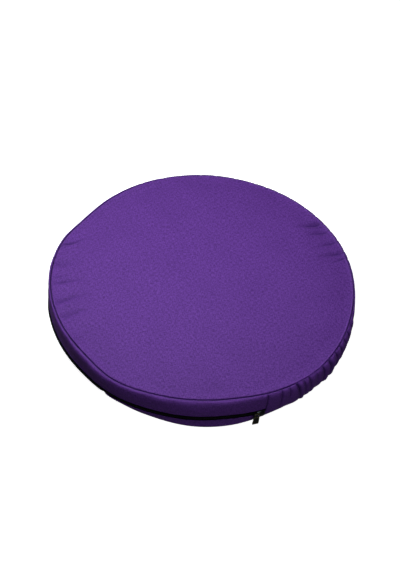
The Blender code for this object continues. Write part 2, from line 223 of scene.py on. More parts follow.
# The soft creases in the top panel, which run inwards from the seam
CREASES = [
    Fold(*row)
    for row in (
        (167.1, 199, 157.2, 166, 0.9, 2.4, 1.6, 0.4),
        (177.9, 200, 172.6, 160, 1.2, 6, 0, 0.3),
        (-175.9, 197, -177, 172, 0.5, 2, 0.8, 0.5),
        (-173, 197, -175.6, 146, 1.1, 3.6, 0.5, 0.4),
        (-162.6, 199, -166, 146, 1.6, 5, 0.1, 0.9),
        (-155.5, 198, -155.6, 148, 1.5, 5, 0.1, 0.5),
        (-144.1, 199, -142.3, 165, 0.8, 4.5, 0, 0.4),
        (38.7, 198, 43.8, 157, 2, 4, 0.7, -0.4),
        (36.6, 195, 38.3, 180, 0.6, 2.2, 0.8, 0.2),
        (33.7, 198, 36.2, 152, 1.3, 4, 0.6, 0.2),
        (27.5, 198, 26.7, 156, 1.1, 3.6, 0.7, -0.3),
        (21.1, 198, 20.2, 150, 1.2, 3.8, 0.6, -0.8),
        (18.4, 199, 16.1, 170, 1, 2.6, 1, 0.8),
    )
]

# The tucks of the gathered band that show, from the zip's end to the right: where each one starts at
# the top seam and ends at the foot, its depth, and how far down the side it reaches
PLEATS = [
    Pleat(*row)
    for row in (
        (-58.8, -58.8, 1.9, 0.7),
        (-55.6, -55.2, 1.3, 0.25),
        (-52.6, -48.4, 3.2, 1),
        (-49.6, -46.6, 1.3, 0.5),
        (-47.2, -44.2, 2, 0.7),
        (-43.6, -41.4, 0.7, 0.5),
        (-40.2, -37.2, 2.4, 0.9),
        (-36.4, -33.8, 4, 1),
        (-31.9, -28.8, 2.2, 1),
        (-28.4, -25.4, 2.6, 0.6),
        (-24.6, -22.2, 2, 1),
        (-20.7, -18.6, 2.4, 0.6),
        (-16.6, -14.7, 1.8, 0.8),
    )
]
PLEAT_SEED = 7
PLEAT_SPACING = (4.2, 8.4)
PLEAT_DEPTH = (0.7, 1.7)
PLEAT_SLANT = 1.6
TUCK_COLUMN = 0.24
QUIET_FROM = -15.0
FOOT_CLEAR = 0.25

# The pull tab's outline and its eye, in its own frame, with the bridge's foot at the origin
PULL_OUTLINE = ((-3.5, 2.7), (-4.5, -8.0), (-5.2, -14.5), (3.9, -14.1), (3.8, -8.0), (3.3, 2.7))
PULL_PANEL = ((-3.1, -4.2), (-4.0, -13.1), (2.8, -12.8), (2.7, -4.2))
PULL_EYE = ((-1.8, 1.25), (-1.8, -0.4), (-1.8, -2.5), (1.8, -2.5), (1.8, -0.4), (1.8, 1.25))

# The spacing of the points
PAD_COLUMNS = 780
CREASE_DENSITY = 1.6
SHEET_STEP = math.degrees(STITCH_PITCH / 5 / ARC_RADIUS)
CREST = 1.0
RING_STEP = 2.2


# Shape functions


def smooth_step(value):
    t = np.clip(value, 0.0, 1.0)
    return t * t * (3 - 2 * t)


def window(value, *edges):
    """0 up to the first edge, 1 between the middle two and 0 again past the last, with smooth steps."""
    rise, full, fall, end = edges
    return smooth_step((value - rise) / (full - rise)) * (1 - smooth_step((value - fall) / (end - fall)))


def hump(value):
    """1 at 0, falling smoothly to nearly nothing at 2 on both sides."""
    return np.exp(-(value**2))


def unit(vectors):
    return vectors / np.linalg.norm(vectors, axis=-1, keepdims=True)


def apart(angles, others):
    """The degrees between directions, from 0 to 180."""
    return np.abs((angles - others + 180.0) % 360.0 - 180.0)


def along_side(angles):
    """Millimetres along the side from +X."""
    return np.radians(angles) * ARC_RADIUS


def hermite(t, start, out, end, back):
    """The cubic from start to end at t, with its slopes there."""
    return (
        start * (2 * t**3 - 3 * t**2 + 1)
        + out * (t**3 - 2 * t**2 + t)
        + end * (3 * t**2 - 2 * t**3)
        + back * (t**3 - t**2)
    )


def monotone(places, values, wanted):
    """A smooth curve through values that doesn't overshoot them."""
    places = np.asarray(places, float)
    values = np.asarray(values, float)
    gaps = np.diff(places)
    slopes = np.diff(values) / gaps
    ends = np.concatenate([slopes[:1], np.zeros(len(values) - 2), slopes[-1:]])
    product = slopes[:-1] * slopes[1:]
    same = product > 0
    total = np.where(same, slopes[:-1] + slopes[1:], 1.0)
    ends[1:-1] = np.where(same, 2 * product / total, 0.0)
    wanted = np.clip(np.asarray(wanted, float), places[0], places[-1])
    first = np.clip(np.searchsorted(places, wanted, side="right") - 1, 0, len(gaps) - 1)
    gap = gaps[first]
    t = (wanted - places[first]) / gap
    return hermite(t, values[first], ends[first] * gap, values[first + 1], ends[first + 1] * gap)


def outline(angles):
    """The seam, rim, waist and foot radii at the angles, on a smooth closed curve through the stations."""
    angles = np.asarray(angles, float)
    radii = np.array(OUTLINE)[:, 1:]
    count = len(OUTLINE)
    spot = (angles - OUTLINE[0][0]) / (360.0 / count)
    first = np.floor(spot).astype(int)
    t = (spot - first)[..., None]
    before, start, end, after = (radii[(first + k) % count] for k in (-1, 0, 1, 2))
    return np.moveaxis(hermite(t, start, (end - before) / 2, end, (after - start) / 2), -1, 0)


def section(angles, levels, rows=SECTION):
    """Radius and height of the band's outer face. angles and levels are arrays of one shape."""
    table = np.array(rows)
    spots = np.arange(len(SECTION))
    height, seam, rim, waist, foot, inset, roll = (monotone(spots, table[:, k], levels) for k in range(7))
    radii = outline(angles)
    front = smooth_step(0.1 - np.sin(np.radians(angles)))
    radius = seam * radii[0] + rim * radii[1] + waist * radii[2] + foot * radii[3]
    radius = radius / (seam + rim + waist + foot)
    beside_zip = window(levels, 3.5, 6.0, 7.5, 10.0)
    return radius - inset + roll * ROLL * front, height + zip_rise(angles) * beside_zip


def zip_rise(angles):
    """How much higher the zip runs to the left of its slider."""
    return ZIP_RISE * hump((angles - ZIP_RISE_ANGLE) / ZIP_RISE_REACH)


def at(angles, radius, height):
    turn = np.radians(angles)
    return np.stack(np.broadcast_arrays(radius * np.cos(turn), radius * np.sin(turn), height), -1)


def noise_at(points, size, seed):
    """Smooth noise from about -1 to 1 at points in millimetres, with bumps of about that size."""
    shift = Vector((seed * 7.13, seed * 3.71, seed * 5.37))
    flat = np.asarray(points, float).reshape(-1, 3) / size
    found = np.array([noise.noise(Vector(p) + shift) for p in flat])
    return found.reshape(np.asarray(points).shape[:-1]) * 1.6


def from_zip_ends(angles):
    """The degrees to the nearer end of the zip."""
    return np.minimum(apart(angles, ZIP_START), apart(angles, ZIP_END))


def in_zip_range(angles):
    """1 along the zip and 0 away from it, with a short change past each end."""
    inside = (angles - ZIP_START) % 360.0 < ZIP_END - ZIP_START
    return np.where(inside, 1.0, 1 - smooth_step(from_zip_ends(angles) / 1.8))


def gather_share(angles):
    """1 on the gathered side and 0 along the zip."""
    turned = (angles - ZIP_END) % 360.0
    reach = (ZIP_START - ZIP_END) % 360.0
    return window(turned, 6.0, 20.0, reach - 12.0, reach) * (turned < reach)


def tuck(angles):
    """1 where the zip stands proud at the front left and hides the strip below it, and 0 elsewhere."""
    return window(angles, -178.0, -166.0, -126.0, -123.0)


def lower_tuck(angles, levels):
    """How far the strip below the zip is drawn in, down to where it turns to the foot."""
    return LOWER_TUCK * tuck(angles) * (1 - smooth_step((levels - 8.5) / 1.5))


def crease_depth(x, y):
    """How far the creases sink the top panel, and how much painted shade they get, from 0 to 1."""
    total = np.zeros_like(x)
    shade = np.zeros_like(x)
    for fold in CREASES:
        outer = at(fold.angle_out, fold.radius_out, 0.0)
        inner = at(fold.angle_in, fold.radius_in, 0.0)
        run = inner - outer
        length = math.hypot(run[0], run[1])
        along = ((x - outer[0]) * run[0] + (y - outer[1]) * run[1]) / length**2
        off = ((x - outer[0]) * run[1] - (y - outer[1]) * run[0]) / length
        off = (off + 0.8 * np.sin(along * 3.0 + fold.angle_out)) * math.copysign(1.0, run[0])
        start = 0.35 + 0.65 * smooth_step(along * length / 8.0)
        before = 0.35 * (1 - smooth_step(-along * 2))
        fade = np.where(along > 0, (1 - smooth_step(along) ** 1.5) * start, before)
        wide = hump(off / fold.width)
        thin = np.exp(-(np.abs(off / 1.1) ** 1.5)) * fold.crisp
        side = off - math.copysign(fold.width * 1.5, fold.ridge)
        ridge = hump(side / fold.width) * abs(fold.ridge)
        total += 1.35 * fold.depth * fade * (wide * 0.9 + thin * 0.6 - ridge)
        shade += fade * (thin * 0.85 + wide * 0.30 * fold.depth)
    return total, np.clip(shade, 0, 1)


# Mesh helpers


def new_object(name, mesh):
    made = bpy.data.objects.new(name, mesh)
    bpy.context.scene.collection.objects.link(made)
    return made


def grid_faces(rows, columns, wrap_rows, wrap_columns):
    """Faces over a grid of points numbered row by row."""
    row = np.arange(rows if wrap_rows else rows - 1)
    column = np.arange(columns if wrap_columns else columns - 1)
    r, c = np.meshgrid(row, column, indexing="ij")
    next_row = (r + 1) % rows
    next_column = (c + 1) % columns
    here, beyond = r * columns, next_row * columns
    return np.stack((here + c, here + next_column, beyond + next_column, beyond + c), -1).reshape(-1, 4)


def closed_faces(rows, columns, fans=False):
    """Faces over closed rings. Each end is one face, or a fan round one of two points after the rings."""
    faces = grid_faces(rows, columns, False, True).tolist()
    last = (rows - 1) * columns
    if not fans:
        return [*faces, list(range(columns))[::-1], list(range(last, last + columns))]
    low, high = rows * columns, rows * columns + 1
    for k in range(columns):
        j = (k + 1) % columns
        faces += [low, j, k], [high, last + k, last + j]
    return faces


def built(name, points, faces, weave=None):
    """A smooth-shaded object from points in millimetres. weave is where each one lies on the flat cloth."""
    mesh = bpy.data.meshes.new(name)
    places = (np.asarray(points).reshape(-1, 3) * MM).tolist()
    mesh.from_pydata(places, [], [list(map(int, face)) for face in faces])
    if weave is not None:
        layer = mesh.attributes.new("weave", "FLOAT_VECTOR", "POINT")
        flat = (np.asarray(weave).reshape(-1, 3) * MM).astype(np.float32)
        layer.data.foreach_set("vector", flat.ravel())
    mesh.shade_smooth()
    mesh.update()
    return new_object(name, mesh)


def discard(item):
    mesh = item.data
    bpy.data.objects.remove(item)
    bpy.data.meshes.remove(mesh)


def apply_modifiers(item):
    graph = bpy.context.evaluated_depsgraph_get()
    result = item.evaluated_get(graph)
    done = bpy.data.meshes.new_from_object(result, preserve_all_data_layers=True, depsgraph=graph)
    old = item.data
    item.modifiers.clear()
    item.data = done
    done.name = old.name
    bpy.data.meshes.remove(old)
    return item


def joined(*parts):
    return np.concatenate(parts, axis=1)


def thicken(item, thickness):
    made = item.modifiers.new("thickness", "SOLIDIFY")
    made.thickness = thickness * MM
    made.offset = -1.0
    return apply_modifiers(item)


def tubes(name, paths, ups, radii, sides):
    """Many short round bars as one mesh. paths, ups and radii are arrays that begin (bar, ring)."""
    radii = np.broadcast_to(radii, paths.shape[:2])
    along = unit(np.gradient(paths, axis=1))
    side = unit(np.cross(along, ups))
    over = np.cross(side, along)
    turn = (np.arange(sides) * 2 * math.pi / sides)[:, None]
    spokes = np.cos(turn) * side[:, :, None] + np.sin(turn) * over[:, :, None]
    bars, rings = paths.shape[:2]
    one = closed_faces(rings, sides)
    faces = [[b * rings * sides + k for k in reversed(face)] for b in range(bars) for face in one]
    return built(name, paths[:, :, None] + spokes * radii[:, :, None, None], faces)


def keep_on_points(item, name, values):
    """Keeps a number from 0 to 1 on each point: rubbed places that are also painted highlight, and fold for
    painted shade in creases, seams and notches.
    """
    layer = item.data.attributes.new(name, "FLOAT", "POINT")
    layer.data.foreach_set("value", np.clip(values, 0, 1).astype(np.float32).ravel())


# Materials


class Nodes:
    """Short calls for building a material's nodes."""

    def __init__(self, name):
        self.made = bpy.data.materials.new(name)
        self.made.use_nodes = True
        self.tree = self.made.node_tree
        self.shader = self.tree.nodes["Principled BSDF"]

    def fill(self, socket, value):
        if isinstance(value, bpy.types.NodeSocket):
            self.tree.links.new(value, socket)
        else:
            socket.default_value = value

    def add(self, kind, inputs=None, **settings):
        node = self.tree.nodes.new(kind)
        for key, value in settings.items():
            setattr(node, key, value)
        for key, value in (inputs or {}).items():
            self.fill(node.inputs[key], value)
        return node

    def attribute(self, name, output="Fac"):
        return self.add("ShaderNodeAttribute", attribute_name=name).outputs[output]

    def place(self):
        return self.add("ShaderNodeTexCoord").outputs["Object"]

    def math(self, operation, a, b=0.0):
        return self.add("ShaderNodeMath", {0: a, 1: b}, operation=operation).outputs[0]

    def noise(self, vector, scale, detail=2.0, roughness=0.5):
        inputs = {"Vector": vector, "Scale": scale, "Detail": detail, "Roughness": roughness}
        return self.add("ShaderNodeTexNoise", inputs).outputs["Fac"]

    def spread(self, value, low, high, to_low, to_high):
        inputs = {0: value, 1: low, 2: high, 3: to_low, 4: to_high}
        return self.add("ShaderNodeMapRange", inputs).outputs[0]

    def blend(self, factor, a, b):
        node = self.add("ShaderNodeMix", {0: factor}, data_type="RGBA")
        for place, value in ((6, a), (7, b)):
            self.fill(node.inputs[place], (*value, 1.0) if isinstance(value, tuple) else value)
        return node.outputs[2]

    def bump(self, height, strength, distance):
        inputs = {"Height": height, "Strength": strength, "Distance": distance}
        return self.add("ShaderNodeBump", inputs).outputs[0]

    def set(self, **values):
        for key, value in values.items():
            self.fill(self.shader.inputs[key.replace("_", " ")], value)


PURPLE_DARK = (0.062, 0.014, 0.165)
PURPLE_PALE = (0.156, 0.046, 0.368)
# The colour of the painted shade in creases and seams
PAINTED_FOLD_SHADE = (0.030, 0.004, 0.112)
THREAD_PURPLE = (0.040, 0.012, 0.105)
THREAD_WIDE = 0.00055
TAPE_RIB = 0.0006


def woven_cloth(name):
    """Plain-woven cloth: crossing threads, fine grain, soft clouding, painted highlight on rubbed rims and
    painted shade in folds.
    """
    n = Nodes(name)
    place = n.attribute("weave", "Vector")
    parts = n.add("ShaderNodeSeparateXYZ", {0: place}).outputs
    wave = math.pi / THREAD_WIDE
    across = n.math("SINE", n.math("MULTIPLY", parts[0], wave))
    down = n.math("SINE", n.math("MULTIPLY", parts[1], wave))
    weave = n.math("MULTIPLY", across, down)
    warp, weft = (
        n.noise(n.add("ShaderNodeVectorMath", {0: place, 1: scale}, operation="MULTIPLY").outputs[0], 1.0)
        for scale in ((230.0, 1050.0, 1.0), (1050.0, 230.0, 1.0))
    )
    speck = n.noise(place, 900.0, 3.0, 0.7)
    grain = n.math("MULTIPLY", n.math("ADD", n.math("ADD", warp, weft), speck), 1 / 3)
    cloud = n.noise(place, 22.0, 3.0)
    tone = n.blend(n.spread(grain, 0.425, 0.575, 0.0, 1.0), PURPLE_DARK, PURPLE_PALE)
    tone = n.blend(n.spread(cloud, 0.35, 0.65, 0.0, 0.16), tone, PURPLE_DARK)
    tone = n.blend(n.spread(weave, 0.0, 1.0, 0.0, 0.14), tone, PURPLE_PALE)
    # Painted highlight: paler on the rolled rims and the puffs' tops, where the light catches them, and
    # partly rubbing
    tone = n.blend(n.math("MULTIPLY", n.attribute("wear_and_highlight"), 0.45), tone, PURPLE_PALE)
    # Painted shade: darker in the creases, the seams' grooves, the tucks' notches and the upright end seams
    tone = n.blend(n.math("MULTIPLY", n.attribute("fold"), 0.75), tone, PAINTED_FOLD_SHADE)
    height = n.math("ADD", n.math("MULTIPLY", weave, 0.5), n.math("MULTIPLY", grain, 1.2))
    n.set(
        Base_Color=tone,
        Roughness=n.spread(grain, 0.3, 0.7, 0.62, 0.82),
        Normal=n.bump(height, 0.35, 0.00022),
        Sheen_Weight=0.06,
        Sheen_Roughness=0.40,
        Sheen_Tint=(0.70, 0.45, 1.0, 1.0),
        Specular_IOR_Level=0.28,
    )
    return n.made


def thread_material():
    """Twisted sewing thread, a little darker than the cloth."""
    n = Nodes("thread_purple")
    inputs = {"Vector": n.place(), "Scale": 900.0, "Distortion": 2.0}
    twist = n.add("ShaderNodeTexWave", inputs).outputs["Fac"]
    shaded = tuple(c * 0.55 for c in THREAD_PURPLE)
    tone = n.blend(n.spread(twist, 0.0, 1.0, 0.0, 0.6), THREAD_PURPLE, shaded)
    n.set(Base_Color=tone, Roughness=0.6, Normal=n.bump(twist, 0.4, 0.0001))
    return n.made


def tape_material():
    """Black herringbone zip tape."""
    n = Nodes("zip_tape_black")
    place = n.attribute("weave", "Vector")
    parts = n.add("ShaderNodeSeparateXYZ", {0: place}).outputs
    slant = n.math("ADD", parts[0], n.math("ABSOLUTE", parts[1]))
    ribs = n.math("SINE", n.math("MULTIPLY", slant, math.pi / TAPE_RIB))
    lint = n.noise(place, 700.0, 2.0)
    black, paler = (0.0010, 0.0010, 0.0018), (0.0030, 0.0028, 0.0050)
    tone = n.blend(n.spread(ribs, -1.0, 1.0, 0.0, 1.0), black, paler)
    tone = n.blend(n.spread(lint, 0.5, 0.8, 0.0, 0.25), tone, (0.008, 0.008, 0.012))
    n.set(Base_Color=tone, Roughness=0.85, Normal=n.bump(ribs, 0.5, 0.0002), Specular_IOR_Level=0.08)
    return n.made


def coil_material():
    """Black nylon teeth with a cool sheen."""
    n = Nodes("zip_coil_black")
    rub = n.noise(n.place(), 260.0, 3.0)
    black, rubbed = (0.0018, 0.0018, 0.0034), (0.008, 0.0085, 0.015)
    tone = n.blend(n.spread(rub, 0.4, 0.75, 0.0, 0.8), black, rubbed)
    n.set(Base_Color=tone, Roughness=n.spread(rub, 0.3, 0.7, 0.32, 0.55), Specular_IOR_Level=0.22)
    return n.made


def enamel_material(name, colour, worn_and_highlight, scale, rough, metal):
    """Dark plated metal with paler, rubbed edges, which on the pull are also a painted highlight, and fine
    scratches.
    """
    n = Nodes(name)
    place = n.place()
    rub = n.noise(place, scale, 4.0, 0.65)
    fine = n.noise(place, scale * 6.0)
    edge = n.spread(n.attribute("wear_and_highlight"), 0.0, 1.0, 0.0, 0.75)
    amount = n.math("MULTIPLY", edge, n.spread(rub, 0.4, 0.62, 0.0, 1.0))
    tone = n.blend(amount, colour, worn_and_highlight)
    n.set(
        Base_Color=tone,
        Metallic=metal,
        Roughness=n.spread(rub, 0.3, 0.7, rough * 0.8, rough * 1.35),
        Normal=n.bump(fine, 0.12, 0.0002),
    )
    return n.made


CLOTHS = ("cushion_cloth", "upper_strip_cloth", "lower_strip_cloth", "band_cloth")
cushion_cloth, upper_cloth, lower_cloth, band_cloth = (woven_cloth(name) for name in CLOTHS)
thread_purple = thread_material()


# The filled pad

UNDER_SHARES = (0.01, 0.08, 0.20, 0.34, 0.48, 0.62, 0.75, 0.85, 0.92, 0.965)
SIDE_RINGS = 9


def pad_angles():
    """Angles round the pad, closer together across the creases."""
    fine = np.arange(-180.0, 180.0, 0.05)
    middle = np.array([(fold.angle_out + fold.angle_in) / 2 for fold in CREASES])
    away = apart(fine[:, None], middle).min(1)
    density = 1 + CREASE_DENSITY * (1 - smooth_step((away - 3.0) / 5.0))
    total = np.concatenate([[0.0], np.cumsum(density)])
    wanted = np.arange(PAD_COLUMNS) * total[-1] / PAD_COLUMNS
    return np.interp(wanted, total, np.append(fine, 180.0))


def pad_levels():
    """The pad's rings from the middle of its underside to the middle of its top: radius, height and painted
    shade.
    """
    angles = pad_angles()
    seam, rim, waist, foot = outline(angles)
    flat = np.zeros_like(angles)
    rings = [((foot + PAD_FOOT_LIP[0][0]) * share, flat) for share in UNDER_SHARES]
    shades = [0.0] * len(rings)
    for step, height in PAD_FOOT_LIP:
        rings.append((foot + step, flat + height))
        shades.append(0.6 if height else 0.0)
    for level in np.linspace(10.4, 2.95, SIDE_RINGS):
        radius, height = section(angles, np.full_like(angles, level))
        groove = 0.9 * in_zip_range(angles) * np.exp(-(((height - ZIP_MIDDLE) / 8.0) ** 4))
        groove += lower_tuck(angles, level) * smooth_step(level - 6.0)
        rings.append((radius - SIDE_SINK - groove, height))
        shades.append(1.0)
    for step, height, shade in PAD_TOP_LIP:
        rings.append((seam + step, flat + height))
        shades.append(shade)
    steps = [1 + PAD_TOP_LIP[-1][0] / PANEL_RADIUS]
    gap = 1.4
    while steps[-1] > 0.012 + gap / PANEL_RADIUS:
        steps.append(steps[-1] - gap / PANEL_RADIUS)
        gap = min(gap * 1.08, RING_STEP if steps[-1] > 0.62 else 5.0)
    crown = np.array(TOP_PANEL)
    for share in steps[1:]:
        rise = monotone(crown[:, 0], crown[:, 1], share)
        rings.append((seam * share, flat + TOP_EDGE + CROWN * rise))
        shades.append(0.0)
    return angles, np.array([r for r, z in rings]), np.array([z for r, z in rings]), np.array(shades)


def coarse_pad():
    """A plain closed copy of the pad, a little smaller, which the simulation fills."""
    angles, radius, height, shades = pad_levels()
    radius, height = radius[:, ::6], height[:, ::6]
    angles = angles[::6]
    middle = SEAM_HEIGHT / 2
    keep = list(range(0, len(radius), 3)) + [len(radius) - 1]
    points = at(angles, radius[keep] - 1.5, middle + (height[keep] - middle) * 0.94)
    return built("pad_start", points, closed_faces(*points.shape[:2]))


VOXEL = 5.0
SWELL_CAP = 4.0
SWELL_FRAMES = 20


def swelling():
    """Where the filled cover's panels move as they fill: points and their moves in millimetres."""
    start = coarse_pad()
    remesh = start.modifiers.new("voxels", "REMESH")
    remesh.mode = "VOXEL"
    remesh.voxel_size = VOXEL * MM
    apply_modifiers(start)
    rest = np.array([v.co for v in start.data.vertices]) / MM
    cloth = start.modifiers.new("cover", "CLOTH").settings
    cloth.quality = 6
    cloth.mass = 0.15
    cloth.tension_stiffness = 18.0
    cloth.compression_stiffness = 18.0
    cloth.shear_stiffness = 6.0
    cloth.bending_stiffness = 0.4
    cloth.use_pressure = True
    cloth.uniform_pressure_force = 4.0
    cloth.effector_weights.gravity = 0.0
    for number in range(1, SWELL_FRAMES + 1):
        bpy.context.scene.frame_set(number)
    graph = bpy.context.evaluated_depsgraph_get()
    filled = start.evaluated_get(graph).to_mesh()
    moved = np.array([v.co for v in filled.vertices]) / MM
    move = moved - rest
    length = np.linalg.norm(move, axis=1, keepdims=True)
    move *= np.minimum(1.0, SWELL_CAP / np.maximum(length, 1e-6))
    bpy.context.scene.frame_set(1)
    discard(start)
    return rest, move


def spread_moves(rest, move, points):
    """The simulated moves, carried over to other points near by."""
    tree = kdtree.KDTree(len(rest))
    for i, point in enumerate(rest):
        tree.insert(point, i)
    tree.balance()
    found = np.zeros_like(points)
    for i, point in enumerate(points):
        near = tree.find_n(point, 9)
        weights = np.exp(-(np.array([d for _, _, d in near]) / VOXEL) ** 2 / 1.6) + 1e-9
        found[i] = (move[[k for _, k, _ in near]] * weights[:, None]).sum(0) / weights.sum()
    return found


def build_pad():
    angles, radius, height, shades = pad_levels()
    points = at(np.broadcast_to(angles, radius.shape), radius, height)
    top = len(UNDER_SHARES) + len(PAD_FOOT_LIP) + SIDE_RINGS + len(PAD_TOP_LIP) - 2
    inside = outline(angles)[0] - radius[top:]
    hold = smooth_step(inside / 14.0)
    panel = points[top:]
    x, y = panel[..., 0], panel[..., 1]
    lift = 0.9 * noise_at(panel * (1, 1, 0), 85.0, 1) * hold
    lift += 0.35 * noise_at(panel * (1, 1, 0), 34.0, 2) * hold
    round_edge = np.radians(angles) * PANEL_RADIUS / 9.0
    spokes = np.stack([round_edge + 0 * x, radius[top:] / 45.0, 0 * x], -1)
    gathered = gather_share(angles)
    lift -= 1.9 * gathered * hump(inside / 7.0) * smooth_step(inside / 4.0)
    lift += 0.32 * noise_at(spokes, 1.0, 3) * hump((inside - 9.0) / 13.0)
    rest, move = swelling()
    wanted = panel.reshape(-1, 3) - (0, 0, 1.5)
    gain = spread_moves(rest, move, wanted)[:, 2].reshape(x.shape)
    lift += (gain - gain.max()) * 0.6 * hold
    sunk, crease_shade = crease_depth(x, y)
    panel[..., 2] += lift - sunk
    points[top:] = panel
    # Painted shade in the seam's groove, on the foot lip and hidden side rings, and in the creases
    shade = shades[:, None] * (1 - 0.55 * gathered)
    shade[top:] = np.maximum(shade[top:], crease_shade)
    ends = [[0, 0, 0], [0, 0, points[-1][:, 2].mean()]]
    flat = np.concatenate([points.reshape(-1, 3), ends])
    faces = closed_faces(*points.shape[:2], fans=True)
    made = built("cushion", flat, faces, flat * (1, 1, 0))
    keep_on_points(made, "fold", np.append(shade.ravel(), [0.0, 0.0]))
    made.data.materials.append(cushion_cloth)
    return made


cushion = build_pad()
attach(cushion, "root")
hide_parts("cushion_pad")


# The strips beside the zip, and the gathered band


def angles_between(start, end, step):
    return np.linspace(start, end, max(2, round((end - start) / step)) + 1)


def with_normals(radius, height):
    """Unit steps outwards, square to the section, for arrays (angle, level)."""
    dr = np.gradient(radius, axis=1)
    dz = np.gradient(height, axis=1)
    length = np.maximum(np.hypot(dr, dz), 1e-9)
    return -dz / length, dr / length


def sheet_object(name, angles, radius, height, finish, thickness, wear_and_highlight=None, fold=None):
    points = at(angles, radius, height)
    rows, columns = points.shape[:2]
    steps = np.linalg.norm(np.diff(points, axis=1), axis=-1)
    along_section = joined(np.zeros((rows, 1)), np.cumsum(steps, axis=1))
    weave = np.stack([along_side(angles), along_section, 0 * angles], -1)
    made = built(name, points, grid_faces(rows, columns, False, False), weave)
    # The paler marks are rubbing and painted highlight; fold is painted shade
    for label, values in (("wear_and_highlight", wear_and_highlight), ("fold", fold)):
        if values is not None:
            keep_on_points(made, label, values)
    thicken(made, thickness)
    made.data.materials.append(finish)
    return made


def level_runs(*runs):
    """Levels down the side, in runs that each have a start, an end and a count."""
    return np.concatenate([np.linspace(*run) for run in runs])


def ripple(angles, height, size, seed):
    """Noise over the side's face: along the arc and up the wall."""
    return noise_at(np.stack([along_side(angles), height * 0.6, 0 * angles], -1), size, seed)


def set_lip(angles, radius, height):
    """Lays the first points of each column down into the top seam."""
    seam = outline(angles[:, 0])[0]
    for k, (step, level) in enumerate(BAND_LIP):
        share = (k + 1) / (len(BAND_LIP) + 1)
        radius[:, k] = seam + step + (radius[:, len(BAND_LIP)] - seam - CREST) * share**3
        height[:, k] = level + (height[:, len(BAND_LIP)] - SECTION[0][0]) * share**2


def stitch_pull(angles):
    """How far each stitch of the top seam draws the cloth in, from 0 to 1."""
    return 0.5 + 0.5 * np.cos(along_side(angles) * 2 * math.pi / STITCH_PITCH)


def seam_shade(levels, hidden):
    """The painted shade at the band's top seam for each level: full inside the seam, and gone a little way
    down.
    """
    shade = 0.4 * hump(levels / 0.3)
    shade[:hidden] = 1.0
    return shade


def end_sink(angles):
    """1 at the upright seams at the two ends of the zip, fading to 0 about a millimetre away."""
    return hump(along_side(from_zip_ends(angles)) / END_SEAM_REACH)


def upper_face(angles, levels):
    """Radius and height of the upper strip's face, with its slight waves and swells."""
    radius, height = section(angles, levels)
    body = smooth_step((levels - 0.6) / 2.0) * smooth_step((LEVEL_ZIP_TOP - levels) / 0.8)
    wave = 0.55 * ripple(angles, height, 26.0, 4) + 0.30 * ripple(angles, height, 11.0, 5)
    radius = radius + wave * body
    for middle, level, size, reach, down in SWELLS:
        radius = radius + size * hump((angles - middle) / reach) * hump((levels - level) / down)
    return radius, height


def lower_face(angles, levels):
    """Radius and height of the lower strip's face, whose hem leaves the zip open."""
    radius, height = section(angles, levels)
    body = smooth_step((levels - LEVEL_ZIP_FOOT) / 1.0) * smooth_step((11.2 - levels) / 1.5)
    radius = radius + 0.35 * ripple(angles, height, 22.0, 6) * body - lower_tuck(angles, levels)
    return radius, height - 0.9 * (1 - smooth_step((levels - LEVEL_ZIP_FOOT) / 1.2))


def hem(radius, height, up):
    """The folded hem behind a face's last points, turned up where up is 1 and down where it is -1."""
    edge_r, edge_z = radius[:, -1:], height[:, -1:]
    turn = np.radians([30, 60, 90, 120, 150, 180])
    back_z = edge_z + up * HEM_STEPS
    columns = zip(back_z, height[:, ::-up], radius[:, ::-up])
    back_r = np.stack([np.interp(*column) for column in columns]) - 2 * HEM_RADIUS - HEM_GAP
    hem_r = joined(edge_r - HEM_RADIUS + HEM_RADIUS * np.cos(turn), back_r)
    hem_z = joined(edge_z - up * HEM_RADIUS * np.sin(turn), back_z)
    return hem_r, hem_z


def with_foot_lip(radius, height):
    """The face with the cloth's lip in the bottom seam after its last points."""
    steps, rises = np.array(FOOT_LIP).T
    radius = joined(radius, radius[:, -1:] + steps)
    return radius, joined(height, height[:, -1:] + rises)


def strip_grid(*runs):
    """Angles along the zip and levels down the side, as a grid, with both as plain lines."""
    angles = angles_between(ZIP_START + END_GAP, ZIP_END - END_GAP, SHEET_STEP)
    levels = level_runs(*runs)
    return angles, levels, *np.meshgrid(angles, levels, indexing="ij")


def build_upper_strip():
    lip = len(BAND_LIP)
    line, levels, angles, grid = strip_grid((0, 0, lip), (0, 2, 9), (2.2, 3, 5), (3.3, UPPER_HEM_LEVEL, 12))
    radius, height = upper_face(angles, grid)
    drawn = 0.45 * stitch_pull(angles) - 0.30 * ripple(angles, 0 * height, 9.0, 12)
    height = height - drawn * hump(grid / 0.8)
    radius = radius - END_SEAM_DEPTH * end_sink(angles)
    set_lip(angles, radius, height)
    face = (slice(None), slice(len(levels)))
    # Paler near the rolled rim in patches: rubbing and a painted highlight where the rim catches the light
    rim_wear_and_highlight = hump((levels - 1.3) / 1.3) * (0.5 + 0.5 * ripple(angles, height, 16.0, 21))
    hem_r, hem_z = hem(radius[:, lip:], height[:, lip:], 1)
    radius = joined(radius, hem_r)
    height = joined(height, hem_z)
    angles = np.repeat(line[:, None], radius.shape[1], axis=1)
    wear_and_highlight = np.zeros_like(radius)
    wear_and_highlight[face] = rim_wear_and_highlight
    # Painted shade in the top seam and at the upright end seams; the hidden hem gets full painted shade
    fold = np.ones_like(radius)
    fold[face] = seam_shade(levels, lip)
    fold = np.maximum(fold, end_sink(angles))
    return sheet_object("zip_strip_upper_cloth", angles, radius, height, upper_cloth, STRIP_THICK, wear_and_highlight, fold)


